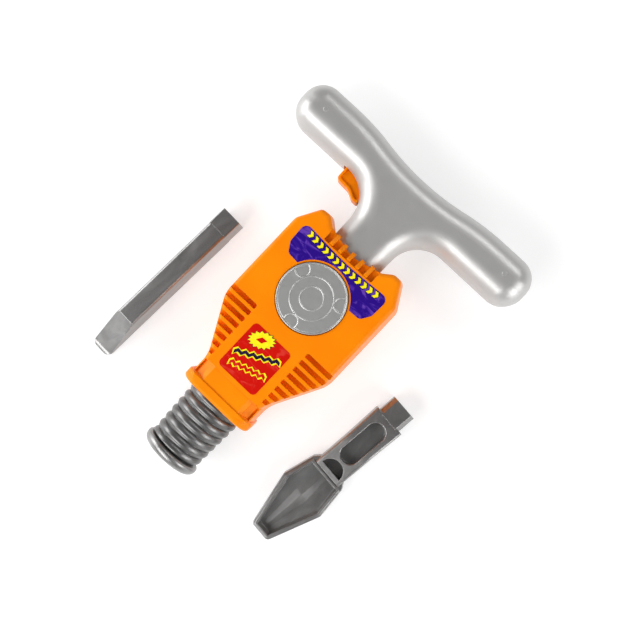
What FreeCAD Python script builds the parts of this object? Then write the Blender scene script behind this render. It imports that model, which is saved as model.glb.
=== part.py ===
"""Toy jackhammer with a T handle, lying on its back beside its chisel bit and its spade bit.

Millimetres, +Z up. The origin is on the resting plane, straight below the centre of the round dial.
The tool's long axis is Y: the handle is towards +Y and the nose, which takes the bits, towards -Y.
"""

import FreeCAD, Part
import math
import os

V = FreeCAD.Vector
X_AXIS, Y_AXIS, Z_AXIS = V(1, 0, 0), V(0, 1, 0), V(0, 0, 1)

# Heights of the housing: its back, the parting plane of its two shells, and its face.
BACK_Z, PARTING_Z, FACE_Z = 0.0, 23.0, 46.0
WALL = 2.2
RIM_RADIUS = 3.4
SEAM_INSET, SEAM_HEIGHT = 0.3, 0.35
LEAST_RADIUS = 0.2

# Plan of the housing, as half outline points (x, y, corner radius), from the collar up to the handle.
COLLAR_Y = -88.5
COLLAR_TOP_Y = -81.5
HOUSING_HALF = [
    (25.4, -84.0, 0.0),
    (25.6, -68.2, 22.0),
    (44.3, -33.0, 20.0),
    (44.3, 30.5, 8.0),
    (34.2, 47.3, 4.5),
    (26.6, 47.6, 5.5),
    (19.4, 41.6, 1.5),
    (0.0, 36.2, 26.0),
]
# The same outline at the face, drawn in by the walls' draft.
FACE_HALF = [
    (22.6, -84.0, 0.0),
    (22.8, -68.2, 22.0),
    (41.4, -33.4, 20.0),
    (41.4, 29.6, 7.0),
    (32.9, 44.6, 3.4),
    (26.9, 45.0, 4.5),
    (20.6, 40.4, 1.7),
    (0.0, 35.1, 25.0),
]
COLLAR_HALF_WIDTH = 26.6
COLLAR_CORNER, COLLAR_FRONT_ROUND, COLLAR_BACK_ROUND = 12.0, 2.3, 1.2
COLLAR_BORE_R = 20.7

# The neck's two slanting facets, from (x, z) to (x, z), and the pocket in each, between two x.
FACET_TOP, FACET_LOW = (14.2, 45.1), (26.5, 37.0)
FACET_TOP_Y = -70.4
PANEL_X, PANEL_TOP_Y, PANEL_DEPTH = (17.2, 22.6), -71.6, 1.5
ABOVE_FACE_Z = 50.0

# Vent grooves, two columns of them on the face.
VENT_COUNT = 8
VENT_TOP_Y, VENT_PITCH, VENT_WIDTH = -27.2, 5.42, 3.1
NECK_BACKING_Z = 34.0
VENT_INNER_X, VENT_DEPTH, VENT_BACKING = 21.2, 4.6, 1.8

# The handle's neck, its pocket in the housing, and the five ribs over it.
HANDLE_HALF_DEPTH = 16.6
HANDLE_ROUND = 14.2
HANDLE_WALL = 2.0
NECK_END_Y = 31.5
HANDLE_HALF = [
    (18.6, NECK_END_Y, 0.0),
    (19.4, 75.3, 22.0),
    (94.7, 75.3, 14.8),
    (94.7, 108.6, 14.8),
    (48.0, 108.6, 170.0),
    (16.0, 102.9, 170.0),
]
NECK_FLANGE = 2.0
NECK_FLANGE_THICK = 2.8
NECK_GAP = 0.25
POCKET_HALF_WIDTH, POCKET_Y, POCKET_FLOOR_Z = 19.6, 31.6, 41.6
RIB_X = (-14.2, -7.1, 0.0, 7.1, 14.2)
RIB_WIDTH, RIB_TOP_Z, RIB_TIP_Z = 2.8, 45.6, 42.4

# Dial, in a shallow cup in the face.
DIAL_R, DIAL_GAP = 22.2, 0.5
CUP_FLOOR_Z, CUP_FLOOR = 43.6, 2.0
DIAL_BASE_Z, DIAL_TOP_Z = 43.85, 47.0

# Labels: thin printed films on the face.
FILM = 0.2
UPPER_LABEL_HALF = [
    (22.6, 10.2, 2.0),
    (29.6, 10.6, 3.4),
    (33.8, 17.0, 5.0),
    (34.4, 31.6, 4.2),
    (0.0, 29.2, 200.0),
]

# Screws: (x, y) of the housing's bosses and of the handle's.
RIGHT_SCREWS = ((37.6, 18.0), (37.6, -24.0), (19.6, -66.0), (30.0, 37.4))
HOUSING_SCREWS = [(side * x, y) for x, y in RIGHT_SCREWS for side in (-1, 1)]
HANDLE_SCREWS = [(-75.5, 94.0), (75.5, 94.0), (0.0, 88.0)]
BOSS_R, PILOT_R, SCREW_R, SCREW_HEAD_R, SCREW_HEAD = 3.3, 1.35, 1.3, 2.6, 1.8
REAR_BOSS_R, COUNTERBORE_R, CLEARANCE_R = 4.2, 2.9, 1.6
SCREW_SEAT_Z, SCREW_TIP_Z = 14.0, 34.0

# Battery bay in the rear shell: three cells lying across the tool.
CELL_R, CELL_LENGTH, NUB_R, NUB = 7.1, 49.2, 2.7, 1.2
CELL_Y = (-32.6, -17.6, -2.6)
CELL_Z = 10.0
BAY_X, BAY_Y, BAY_ROOF_Z = 28.8, (-40.4, 5.2), 18.2
BAY_WALL = 1.6
CONTACT_TAB_X, CONTACT_TAB_Y, CONTACT_TAB_Z = 32.0, (1.5, 3.0), (13.0, 14.6)
DOOR_HALF_WIDTH, DOOR_Y, DOOR_THICK, DOOR_GAP = 31.4, (-43.4, 13.0), 2.0, 0.25
DOOR_SEAT = 1.7
DOOR_SCREW_Y = 9.4

# Gear train: motor pinion, compound gear, dial gear. All spin about Z.
MODULE = 0.8
DIAL_TEETH, COMPOUND_PINION_TEETH, COMPOUND_TEETH, MOTOR_PINION_TEETH = 40, 10, 32, 10
TOOTH_ROOT, TOOTH_PITCH, TOOTH_TIP = 0.85, 0.56, 0.24
MOTOR_Y = 22.5
MOTOR_WIDE, MOTOR_THICK, MOTOR_Z = 20.1, 15.1, (4.0, 29.0)
MOTOR_SHAFT_R = 1.0
MOTOR_TAB_X, MOTOR_TAB_Y = 13.4, (20.5, 24.5)
DIAL_GEAR_Z, COMPOUND_PINION_Z, COMPOUND_WHEEL_Z = (30.2, 33.2), (29.6, 34.0), (38.0, 40.4)
MOTOR_PINION_Z, WEIGHT_Z, WEIGHT_R = (37.6, 41.0), (34.2, 37.2), 7.0
DIAL_SHAFT_R, DIAL_PIVOT_R = 2.5, 2.0
PLATE_Z = (24.0, 26.0)

# Circuit board on two posts, and the speaker behind a grille in the back.
BOARD_TOP_Z = 9.6
BOARD_HOLES = ((-28.0, 10.8), (-17.0, 27.6))
SPEAKER_Y, SPEAKER_R = -57.0, 14.0
GRILLE = ((-8.0, 7.0), (-4.0, 10.0), (0.0, 11.0), (4.0, 10.0), (8.0, 7.0))
WIRE_R, WIRE_BEND = 0.5, 8.0

# Nose: it slides along Y in the collar, on a rod through a bulkhead.
NOSE_Z = PARTING_Z
RING_R, RING_Y = 20.0, (-135.3, -128.6)
RING_ROUND, RING_BACK_ROUND = 4.6, 1.9
SLEEVE_TOP_Y = -82.6
SLEEVE_TOP_R, SLEEVE_END_R, SLEEVE_BORE_R = 20.0, 18.4, 15.6
COIL_PITCH, COIL_DEPTH = 6.0, 1.7
BULKHEAD_Y = (-76.0, -73.5)
ROD_R, ROD_GAP = 6.0, 0.08
SOCKET_OUTER, SOCKET_HOLE = (23.0, 19.6), (18.8, 15.3)
SOCKET_FLOOR_Y, SOCKET_BACK_Y = -113.0, -110.0

# Trigger, hinged on a pin in the left arm, and the switch that it presses.
TRIGGER_PIN = (-41.5, 81.8)
TRIGGER_HALF_THICK, TRIGGER_PIN_R = 6.0, 1.5
TRIGGER_OUTLINE = [
    (-42.4, 66.9, 2.2),
    (-32.0, 66.4, 8.0),
    (-26.2, 63.3, 4.0),
    (-22.0, 63.3, 1.8),
    (-20.9, 68.4, 1.5),
    (-27.5, 77.5, 2.0),
    (-41.5, 84.4, 2.5),
    (-42.6, 80.0, 0.8),
]
TRIGGER_POCKET = [
    (-40.9, 68.5, 1.2),
    (-31.6, 68.0, 6.0),
    (-26.0, 64.9, 3.0),
    (-23.5, 64.9, 0.8),
    (-22.8, 68.0, 0.8),
    (-28.4, 75.6, 1.0),
    (-40.9, 77.4, 1.0),
]
TRIGGER_POCKET_DEPTH = 1.5
TRIGGER_SLOT = [
    (-44.0, 60.0, 0.0),
    (-20.8, 60.0, 0.0),
    (-14.0, 70.0, 0.0),
    (-20.0, 84.0, 0.0),
    (-44.0, 84.0, 0.0),
]
SWITCH_X, SWITCH_Y, SWITCH_Z = (-31.8, -19.2), (84.5, 90.7), (20.0, 26.0)
SWITCH_LEGS_X = (-30.6, -25.5, -20.4)
BUTTON_X, BUTTON_R, BUTTON_TIP_Y = -30.0, 1.4, 82.25
TRIGGER_SPRING_X, TRIGGER_SPRING_Y = -34.7, (82.2, 95.6)

# Bits. Each is drawn with its tang's end at the local origin and its tip towards local -Y, and then
# placed at (x, y, angle). The tangs have one section, which the chisel lies on its narrow side.
TANG_WIDE, TANG_NARROW, TANG_LENGTH = 18.2, 14.7, 12.6
CHISEL_LENGTH, CHISEL_WIDTH, CHISEL_TOP_WIDTH, CHISEL_HEIGHT = 125.3, 15.2, 13.8, 18.8
CHISEL_ROUND, CHISEL_BEVEL_Y, CHISEL_EDGE = 2.2, -95.4, 1.8
CHISEL_PLACE = (-76.9, 4.2, -2.9)
SPADE_PLACE = (89.6, -9.8, -6.0)
SHANK_HALF = [(11.0, -66.0, 0.0), (11.0, -36.0, 90.0), (11.6, -TANG_LENGTH, 0.0)]
SHANK_TOP_Z, SHANK_LOW_Z = 14.6, 9.6
BLADE_HALF = [(7.4, -124.0, 3.0), (18.3, -87.3, 2.4), (14.3, -65.2, 2.2), (11.0, -60.8, 1.0)]
TRAY_HALF = [(7.4, -124.0, 3.0), (18.3, -87.3, 2.4), (14.3, -65.2, 2.2)]
BLADE_TOP_Z, RIM_TOP_Z, TRAY_FLOOR_Z = 8.2, 9.2, 3.0
RIM_STEP, RIM_WIDTH = 1.3, 3.0
POCKET_R, POCKET_SPAN_Y, POCKET_SINK_Z = 6.3, (-52.6, -18.3), 5.0
MOON_Y, MOON_R, MOON_SINK_Z = -62.7, 8.0, 1.6


# ---- drawing helpers ----


def both_sides(half):
    """A closed outline, counter-clockwise, from its right half listed from the bottom up."""
    left = [(-x, y, r) for x, y, r in reversed(half) if x != 0]
    return half + left


def on_side(side, points):
    """The outline as it is for side 1, and mirrored in X for side -1."""
    return points if side > 0 else [(-x, y, r) for x, y, r in reversed(points)]


def inset_points(points, inset):
    """The outline moved inwards by inset, with its corner radii changed to match."""
    n = len(points)
    edges = []
    for i in range(n):
        a, b = points[i], points[(i + 1) % n]
        d = V(b[0] - a[0], b[1] - a[1], 0).normalize()
        edges.append((V(a[0] - d.y * inset, a[1] + d.x * inset, 0), d))
    moved = []
    for i in range(n):
        (p, d), (q, e) = edges[i - 1], edges[i]
        turn = d.x * e.y - d.y * e.x
        if abs(turn) < 1e-6:
            corner = q
        else:
            corner = p + d * (((q.x - p.x) * e.y - (q.y - p.y) * e.x) / turn)
        radius = points[i][2]
        if radius:
            radius = max(LEAST_RADIUS, radius - inset if turn > 0 else radius + inset)
        moved.append((corner.x, corner.y, radius))
    return moved


def outline(points, z=0.0, inset=0.0):
    """A closed wire of lines and arcs through (x, y, corner radius) points."""
    if inset:
        points = inset_points(points, inset)
    corners = [V(x, y, z) for x, y, _ in points]
    n = len(points)
    starts, ends, arcs = [], [], []
    for i, (x, y, radius) in enumerate(points):
        p = corners[i]
        before = (p - corners[i - 1]).normalize()
        after = (corners[(i + 1) % n] - p).normalize()
        turn = before.getAngle(after)
        if radius <= 0 or turn < 1e-4:
            starts.append(p)
            ends.append(p)
            arcs.append(None)
            continue
        reach = radius * math.tan(turn / 2)
        inward = (after - before).normalize()
        middle = p + inward * (radius / math.cos(turn / 2) - radius)
        starts.append(p - before * reach)
        ends.append(p + after * reach)
        arcs.append(Part.Arc(starts[-1], middle, ends[-1]).toShape())
    edges = []
    for i in range(n):
        if arcs[i]:
            edges.append(arcs[i])
        following = starts[(i + 1) % n]
        if ends[i].distanceToPoint(following) > 1e-5:
            edges.append(Part.LineSegment(ends[i], following).toShape())
    return Part.Wire(Part.__sortEdges__(edges))


def plate(points, z0, z1, inset=0.0):
    return Part.Face(outline(points, z0, inset)).extrude(V(0, 0, z1 - z0))


def plate_y(points, y0, y1):
    """A plate drawn in X and Z, from y0 to y1."""
    face = Part.Face(outline(points))
    face.rotate(V(), X_AXIS, 90)
    face.translate(V(0, y0, 0))
    return face.extrude(V(0, y1 - y0, 0))


def plate_x(points, x0, x1):
    """A plate drawn in Y and Z, from x0 to x1."""
    face = Part.Face(outline(points))
    face.rotate(V(), X_AXIS, 90)
    face.rotate(V(), Z_AXIS, 90)
    face.translate(V(x0, 0, 0))
    return face.extrude(V(x1 - x0, 0, 0))


def lofted(wires):
    return Part.makeLoft(wires, True, True)


def tapered(points, sections):
    """A solid through the outline at each (z, inset)."""
    return lofted([outline(points, z, inset) for z, inset in sections])


def box(x, y, z):
    return Part.makeBox(x[1] - x[0], y[1] - y[0], z[1] - z[0], V(x[0], y[0], z[0]))


def rod_z(x, y, radius, z0, z1):
    return Part.makeCylinder(radius, z1 - z0, V(x, y, z0), Z_AXIS)


def rod_y(x, z, radius, y0, y1):
    return Part.makeCylinder(radius, y1 - y0, V(x, y0, z), Y_AXIS)


def rod_x(y, z, radius, x0, x1):
    return Part.makeCylinder(radius, x1 - x0, V(x0, y, z), X_AXIS)


def rectangle(half_x, half_y, radius=0.0, x=0.0, y=0.0):
    return [
        (x + half_x, y - half_y, radius),
        (x + half_x, y + half_y, radius),
        (x - half_x, y + half_y, radius),
        (x - half_x, y - half_y, radius),
    ]


def joined(shapes):
    first, rest = shapes[0], shapes[1:]
    return first.multiFuse(rest).removeSplitter() if rest else first


def without(shape, tools):
    return shape.cut(tools).removeSplitter()


def rounded_at(shape, radius, chosen):
    """shape with a fillet on every edge that chosen picks."""
    return shape.makeFillet(radius, [e for e in shape.Edges if chosen(e)])


def lies_at_z(edge, z):
    return all(abs(p.z - z) < 1e-4 for p in edge.discretize(5))


def lies_at_y(edge, y):
    return all(abs(p.y - y) < 1e-4 for p in edge.discretize(5))


def flipped(shape):
    """The shape turned over, front to back, through the parting plane."""
    return shape.mirror(V(0, 0, PARTING_Z), Z_AXIS)


def coil(radius, wire_r, pitch, length, start, axis):
    """A helical spring from start along axis, swept along a smooth curve through points of its helix."""
    per_turn = 12
    angles = [2 * math.pi * i / per_turn for i in range(round(length / pitch * per_turn) + 1)]
    points = [V(radius * math.cos(a), radius * math.sin(a), pitch * a / (2 * math.pi)) for a in angles]
    helix = Part.BSplineCurve()
    helix.interpolate(points)
    profile = Part.Wire(Part.makeCircle(wire_r, points[0], helix.tangent(0)[0]))
    spring = Part.Wire(helix.toShape()).makePipeShell([profile], True, True)
    turn = FreeCAD.Rotation(Z_AXIS, axis)
    spring.Placement = FreeCAD.Placement(start, turn)
    return spring


def write(name, shape):
    shape.exportStep(os.path.join("parts", name + ".step"))


# ---- housing ----


def housing_blank():
    """The solid outer form of the front shell: body, neck and collar."""
    wide, narrow = both_sides(HOUSING_HALF), both_sides(FACE_HALF)
    body = lofted(
        [
            outline(wide, PARTING_Z, SEAM_INSET),
            outline(wide, PARTING_Z + SEAM_HEIGHT),
            outline(narrow, FACE_Z),
        ]
    )
    body = rounded_at(body, RIM_RADIUS, lambda e: lies_at_z(e, FACE_Z) and e.CenterOfMass.y > -83.9)
    cutter = [
        (*FACET_TOP, 0.0),
        (*FACET_LOW, 0.0),
        (FACET_LOW[0], ABOVE_FACE_Z, 0.0),
        (FACET_TOP[0], ABOVE_FACE_Z, 0.0),
    ]
    facet_y = (COLLAR_TOP_Y - 0.5, FACET_TOP_Y)
    cuts = [box((-FACET_LOW[0], FACET_LOW[0]), facet_y, (FACET_TOP[1], ABOVE_FACE_Z))]
    cuts += [plate_y(on_side(side, cutter), *facet_y) for side in (-1, 1)]
    cuts += [panel_pocket(side) for side in (-1, 1)]
    return joined([without(body, cuts), collar_blank()])


def panel_pocket(side):
    """The rectangular pocket in the neck's slanting side facet."""
    slope = (FACET_LOW[1] - FACET_TOP[1]) / (FACET_LOW[0] - FACET_TOP[0])
    floor = [(x, FACET_TOP[1] + slope * (x - FACET_TOP[0]) - PANEL_DEPTH, 0.0) for x in PANEL_X]
    points = floor + [(x, ABOVE_FACE_Z, 0.0) for x in reversed(PANEL_X)]
    return plate_y(on_side(side, points), COLLAR_TOP_Y, PANEL_TOP_Y)


def collar_blank():
    """The flange round the nose's opening, for the front shell."""
    half = rectangle(COLLAR_HALF_WIDTH, FACE_Z - PARTING_Z, COLLAR_CORNER, 0, PARTING_Z)
    ring = plate_y(half, COLLAR_Y, COLLAR_TOP_Y)
    ring = rounded_at(ring, COLLAR_FRONT_ROUND, lambda e: lies_at_y(e, COLLAR_Y))
    ring = rounded_at(ring, COLLAR_BACK_ROUND, lambda e: lies_at_y(e, COLLAR_TOP_Y))
    return ring.common(box((-40, 40), (-100, -60), (PARTING_Z, 60)))


def housing_cavity():
    """The hollow inside the front shell."""
    wide, narrow = both_sides(HOUSING_HALF), both_sides(FACE_HALF)
    return lofted([outline(wide, PARTING_Z - 1, WALL), outline(narrow, FACE_Z - WALL, WALL)])


def neck_profile(grow, flange=0.0):
    """The neck's section in X and Z, grown all round by grow and at its sides by flange as well."""
    half_width = HANDLE_HALF[0][0] + grow + flange
    return rectangle(half_width, HANDLE_HALF_DEPTH + grow, HANDLE_ROUND + grow, 0, PARTING_Z)


def neck_room():
    """The space that the handle's neck and its flange take up in the housing."""
    low = NECK_END_Y - NECK_GAP
    flange_top = NECK_END_Y + NECK_FLANGE_THICK + NECK_GAP
    return [
        plate_y(neck_profile(NECK_GAP), low, 60),
        plate_y(neck_profile(NECK_GAP, NECK_FLANGE), low, flange_top),
    ]


def shell(blank):
    """A housing shell: the blank hollowed, with bosses, bulkhead and the openings that both shells have."""
    hollow = without(blank, [housing_cavity()])
    posts = [rod_z(x, y, BOSS_R, PARTING_Z, FACE_Z - 1) for x, y in HOUSING_SCREWS]
    bulkhead = box((-24.5, 24.5), BULKHEAD_Y, (PARTING_Z, FACE_Z - 1.5))
    solid = joined([hollow, joined(posts + [bulkhead]).common(blank)])
    return without(
        solid,
        neck_room()
        + [
            rod_y(0, NOSE_Z, COLLAR_BORE_R, -100, BULKHEAD_Y[0] - 0.4),
            rod_y(0, NOSE_Z, ROD_R + ROD_GAP, -80, -70),
        ],
    )


def vent_grooves():
    grooves = []
    for i in range(VENT_COUNT):
        y = VENT_TOP_Y - VENT_PITCH * i
        corner = 1.5 if i == 0 else 0.5
        for side in (-1, 1):
            points = [
                (VENT_INNER_X, y - VENT_WIDTH / 2, 0.5),
                (50.0, y - VENT_WIDTH / 2, 0.0),
                (50.0, y + VENT_WIDTH / 2, 0.0),
                (VENT_INNER_X, y + VENT_WIDTH / 2, corner),
            ]
            grooves.append(plate(on_side(side, points), FACE_Z - VENT_DEPTH, FACE_Z + 5))
    return grooves


def pocket_rib(x):
    """One rib over the neck's pocket: it slopes from the face down to its tip on the neck."""
    tip_y = 38.4 + 0.0095 * x * x
    points = [
        (POCKET_Y - 0.6, POCKET_FLOOR_Z - 0.6, 0.0),
        (tip_y, POCKET_FLOOR_Z - 0.6, 0.0),
        (tip_y, RIB_TIP_Z, 0.9),
        (POCKET_Y + 1.5, RIB_TOP_Z, 2.0),
        (POCKET_Y - 0.6, RIB_TOP_Z, 0.0),
    ]
    return plate_x(points, x - RIB_WIDTH / 2, x + RIB_WIDTH / 2)


def housing_front():
    blank = housing_blank()
    body = shell(blank)
    backing_z = FACE_Z - VENT_DEPTH - VENT_BACKING
    last_vent_y = VENT_TOP_Y - VENT_PITCH * (VENT_COUNT - 1)
    backings = [
        box(x, (last_vent_y - 3, VENT_TOP_Y + 3), (backing_z, FACE_Z))
        for x in ((-45, -VENT_INNER_X + 1.6), (VENT_INNER_X - 1.6, 45))
    ]
    backings += [
        box(x, (COLLAR_TOP_Y - 1, last_vent_y), (NECK_BACKING_Z, FACE_Z)).cut(
            rod_y(0, NOSE_Z, COLLAR_BORE_R, -100, -60)
        )
        for x in ((-27, -13), (13, 27))
    ]
    cup_r = DIAL_R + DIAL_GAP
    cup = rod_z(0, 0, cup_r + 1.8, CUP_FLOOR_Z - CUP_FLOOR, FACE_Z - 1)
    pocket_backing = box((-24, 24), (POCKET_Y - 2, 44), (38.5, POCKET_FLOOR_Z + 0.5)).cut(neck_room())
    body = joined([body, joined(backings + [cup, pocket_backing]).common(blank)])
    pocket = rectangle(POCKET_HALF_WIDTH, 8.0, 1.0, 0, POCKET_Y + 8.0)
    pilots = [rod_z(x, y, PILOT_R, PARTING_Z - 1, 38.0) for x, y in HOUSING_SCREWS]
    openings = [
        rod_z(0, 0, cup_r, CUP_FLOOR_Z, FACE_Z + 1),
        rod_z(0, 0, DIAL_SHAFT_R + 0.06, 30, 50),
        plate(pocket, POCKET_FLOOR_Z, FACE_Z + 1),
    ]
    body = without(body, vent_grooves() + pilots + openings)
    ribs = [pocket_rib(x) for x in RIB_X]
    axle = compound_place()
    post = rod_z(axle.x, axle.y, 2.6, 40.8, CUP_FLOOR_Z - 0.5)
    body = joined([body] + ribs + [post])
    return without(body, [rod_z(axle.x, axle.y, 1.05, 35, 42.4)])


def housing_rear():
    blank = housing_blank()
    body = flipped(shell(blank))
    counterbored = [rod_z(x, y, REAR_BOSS_R, WALL / 2, PARTING_Z) for x, y in HOUSING_SCREWS]
    bay_x, bay_y = BAY_X + BAY_WALL, (BAY_Y[0] - BAY_WALL, BAY_Y[1] + BAY_WALL)
    bay = box((-bay_x, bay_x), bay_y, (0.5, BAY_ROOF_Z + BAY_WALL))
    door_seat = plate(door_points(DOOR_SEAT), 0.5, DOOR_THICK + 2.0)
    door_boss = rod_z(0, DOOR_SCREW_Y, 3.2, 1.0, 12.0)
    cradle = plate(
        rectangle(MOTOR_WIDE / 2 + 1.7, MOTOR_THICK / 2 + 1.7, 4.0, 0, MOTOR_Y), 1.0, 15.0
    )
    motor_room = plate(
        rectangle(MOTOR_WIDE / 2 + 0.2, MOTOR_THICK / 2 + 0.2, 3.2, 0, MOTOR_Y), MOTOR_Z[0] - 0.1, 30.0
    )
    speaker_seat = rod_z(0, SPEAKER_Y, SPEAKER_R + 1.6, 1.0, 5.5)
    board_posts = [rod_z(x, y, 2.2, 1.0, 8.0) for x, y in BOARD_HOLES]
    seats = joined(counterbored + [bay, door_seat, door_boss, cradle, speaker_seat] + board_posts)
    body = joined([body, seats.common(flipped(blank))])
    grille = [box((-w, w), (SPEAKER_Y + dy - 0.9, SPEAKER_Y + dy + 0.9), (-1, 3)) for dy, w in GRILLE]
    holes = []
    for x, y in HOUSING_SCREWS:
        holes += [rod_z(x, y, COUNTERBORE_R, -1, SCREW_SEAT_Z), rod_z(x, y, CLEARANCE_R, 10, 30)]
    return without(
        body,
        grille
        + holes
        + [rod_z(x, y, 0.85, 4.0, 9.0) for x, y in BOARD_HOLES]
        + [
            box((-BAY_X, BAY_X), BAY_Y, (-1, BAY_ROOF_Z)),
            box((-CONTACT_TAB_X, CONTACT_TAB_X), (1.3, 3.2), (12.8, 14.8)),
            box((-MOTOR_TAB_X - 0.6, -9.0), (18.9, 26.1), (4.0, 16.0)),
            plate(door_points(DOOR_GAP), -1, DOOR_THICK + 0.1),
            rod_z(0, DOOR_SCREW_Y, PILOT_R, 1, 11),
            motor_room,
            rod_z(0, SPEAKER_Y, SPEAKER_R + 0.15, WALL + 0.1, 6.0),
        ]
        + neck_room(),
    )


def door_points(grow):
    middle = (DOOR_Y[0] + DOOR_Y[1]) / 2
    return rectangle(DOOR_HALF_WIDTH + grow, (DOOR_Y[1] - DOOR_Y[0]) / 2 + grow, 3.0 + grow, 0, middle)


def battery_door():
    door = plate(door_points(0), 0.0, DOOR_THICK)
    ridges = [box((-20, 20), (y - 0.5, y + 0.5), (-1, 0.4)) for y in (-34.0, -30.0, -26.0)]
    countersink = rod_z(0, DOOR_SCREW_Y, SCREW_HEAD_R + 0.3, -1, 1.1)
    return without(door, ridges + [countersink, rod_z(0, DOOR_SCREW_Y, CLEARANCE_R, -1, 5)])


def screw(x, y, seat_z, tip_z, head=SCREW_HEAD):
    """A pan-head screw driven upwards, with a cross recess in its head."""
    body = joined(
        [rod_z(x, y, SCREW_HEAD_R, seat_z - head, seat_z), rod_z(x, y, SCREW_R, seat_z - 0.1, tip_z)]
    )
    slots = [
        box((x - a, x + a), (y - b, y + b), (seat_z - head - 1, seat_z - head + 0.7))
        for a, b in ((1.6, 0.35), (0.35, 1.6))
    ]
    return without(body, slots)


def shell_screws(places):
    return Part.makeCompound([screw(x, y, SCREW_SEAT_Z, SCREW_TIP_Z) for x, y in places])


def labels():
    """The blue label, which wraps round the dial, and the red one below it."""
    blue = plate(both_sides(UPPER_LABEL_HALF), FACE_Z, FACE_Z + FILM)
    blue = blue.cut(rod_z(0, 0, DIAL_R + 1.6, FACE_Z - 1, FACE_Z + 1))
    red = plate(rectangle(15.1, 17.2, 3.0, 0, -50.6), FACE_Z, FACE_Z + FILM)
    return blue, red


# ---- batteries ----


def battery_cells():
    cells = []
    for i, y in enumerate(CELL_Y):
        x0 = -25.2 if i % 2 == 0 else -24.0
        can = rod_x(y, CELL_Z, CELL_R, x0, x0 + CELL_LENGTH)
        can = rounded_at(can, 0.5, lambda e: e.Length > 10 and len(e.Vertexes) == 1)
        nub_x = x0 + CELL_LENGTH if i % 2 == 0 else x0 - NUB
        cells.append(joined([can, rod_x(y, CELL_Z, NUB_R, nub_x, nub_x + NUB)]))
    return Part.makeCompound(cells)


def battery_springs():
    springs = []
    for i, y in enumerate(CELL_Y):
        side = -1 if i % 2 == 0 else 1
        start = V(side * (BAY_X - 0.75), y, CELL_Z)
        springs.append(coil(3.2, 0.3, 1.1, 2.2, start, V(-side, 0, 0)))
    return Part.makeCompound(springs)


def battery_contacts():
    plates = []
    for side in (-1, 1):
        x = (side * BAY_X, side * (BAY_X - 0.4))
        spans = ((-39.0, -11.6), (-9.6, 4.0)) if side < 0 else ((-39.0, -26.2), (-24.2, 4.0))
        plates += [box((min(x), max(x)), span, (4.0, 16.5)) for span in spans]
    for side, i in ((-1, 1), (1, 3)):
        x = (side * (BAY_X - 0.1), side * CONTACT_TAB_X)
        plates[i] = joined([plates[i], box((min(x), max(x)), CONTACT_TAB_Y, CONTACT_TAB_Z)])
    return Part.makeCompound(plates)


# ---- drive ----


def gear_points(teeth, phase):
    """The outline of a spur gear, one tooth centred at the angle phase."""
    pitch_r = MODULE * teeth / 2
    flank = [
        (pitch_r - 1.1 * MODULE, TOOTH_ROOT),
        (pitch_r, TOOTH_PITCH),
        (pitch_r + 0.8 * MODULE, TOOTH_TIP),
    ]
    up = [(radius, -half) for radius, half in flank]
    down = [(radius, half) for radius, half in reversed(flank)]
    points = []
    for i in range(teeth):
        middle = phase + 2 * math.pi * i / teeth
        for radius, half in up + down:
            angle = middle + half * MODULE / radius
            points.append((radius * math.cos(angle), radius * math.sin(angle), 0.0))
    return points


def gear(teeth, place, z, phase):
    wheel = plate(gear_points(teeth, phase), *z)
    wheel.translate(V(place.x, place.y, 0))
    return wheel


def compound_place():
    """The compound gear's axis, at the two gears' centre distances from the dial and from the motor."""
    to_dial = MODULE * (DIAL_TEETH + COMPOUND_PINION_TEETH) / 2
    to_motor = MODULE * (COMPOUND_TEETH + MOTOR_PINION_TEETH) / 2
    y = (to_dial**2 - to_motor**2 + MOTOR_Y**2) / (2 * MOTOR_Y)
    return V(math.sqrt(to_dial**2 - y**2), y, 0)


def mesh_phase(teeth, place, other):
    """The angle that puts a gap of a gear at place on the line to the other gear's axis."""
    towards = math.atan2(other.y - place.y, other.x - place.x)
    return towards + math.pi / teeth


def tooth_phase(place, other):
    """The angle that puts a tooth of a gear at place on the line to the other gear's axis."""
    return math.atan2(other.y - place.y, other.x - place.x)


def drive_gears():
    """The dial gear with its shaft, the compound gear, and the motor's pinion."""
    dial, compound, motor = V(), compound_place(), V(0, MOTOR_Y, 0)
    dial_gear = joined(
        [
            gear(DIAL_TEETH, dial, DIAL_GEAR_Z, mesh_phase(DIAL_TEETH, dial, compound)),
            rod_z(0, 0, DIAL_SHAFT_R, 26.3, DIAL_BASE_Z + 1.6),
            rod_z(0, 0, DIAL_PIVOT_R, 23.0, 26.4),
        ]
    )
    lightening = [
        rod_z(10.2 * math.cos(a), 10.2 * math.sin(a), 3.0, 29, 35)
        for a in (math.radians(30 + 60 * k) for k in range(6))
    ]
    dial_gear = without(dial_gear, lightening)
    wheel_phase = mesh_phase(COMPOUND_TEETH, compound, motor)
    pinion_phase = tooth_phase(compound, dial)
    compound_gear = joined(
        [
            gear(COMPOUND_PINION_TEETH, compound, COMPOUND_PINION_Z, pinion_phase),
            gear(COMPOUND_TEETH, compound, COMPOUND_WHEEL_Z, wheel_phase),
            rod_z(compound.x, compound.y, 2.6, 33.9, COMPOUND_WHEEL_Z[0] + 0.1),
        ]
    )
    compound_gear = without(compound_gear, [rod_z(compound.x, compound.y, 1.06, 25, 45)])
    motor_pinion = gear(MOTOR_PINION_TEETH, motor, MOTOR_PINION_Z, tooth_phase(motor, compound))
    motor_pinion = motor_pinion.cut(rod_z(0, MOTOR_Y, MOTOR_SHAFT_R, 30, 45))
    return dial_gear, compound_gear, motor_pinion


def compound_axle():
    place = compound_place()
    return rod_z(place.x, place.y, 1.0, PLATE_Z[0] - 1.5, 42.3)


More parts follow.
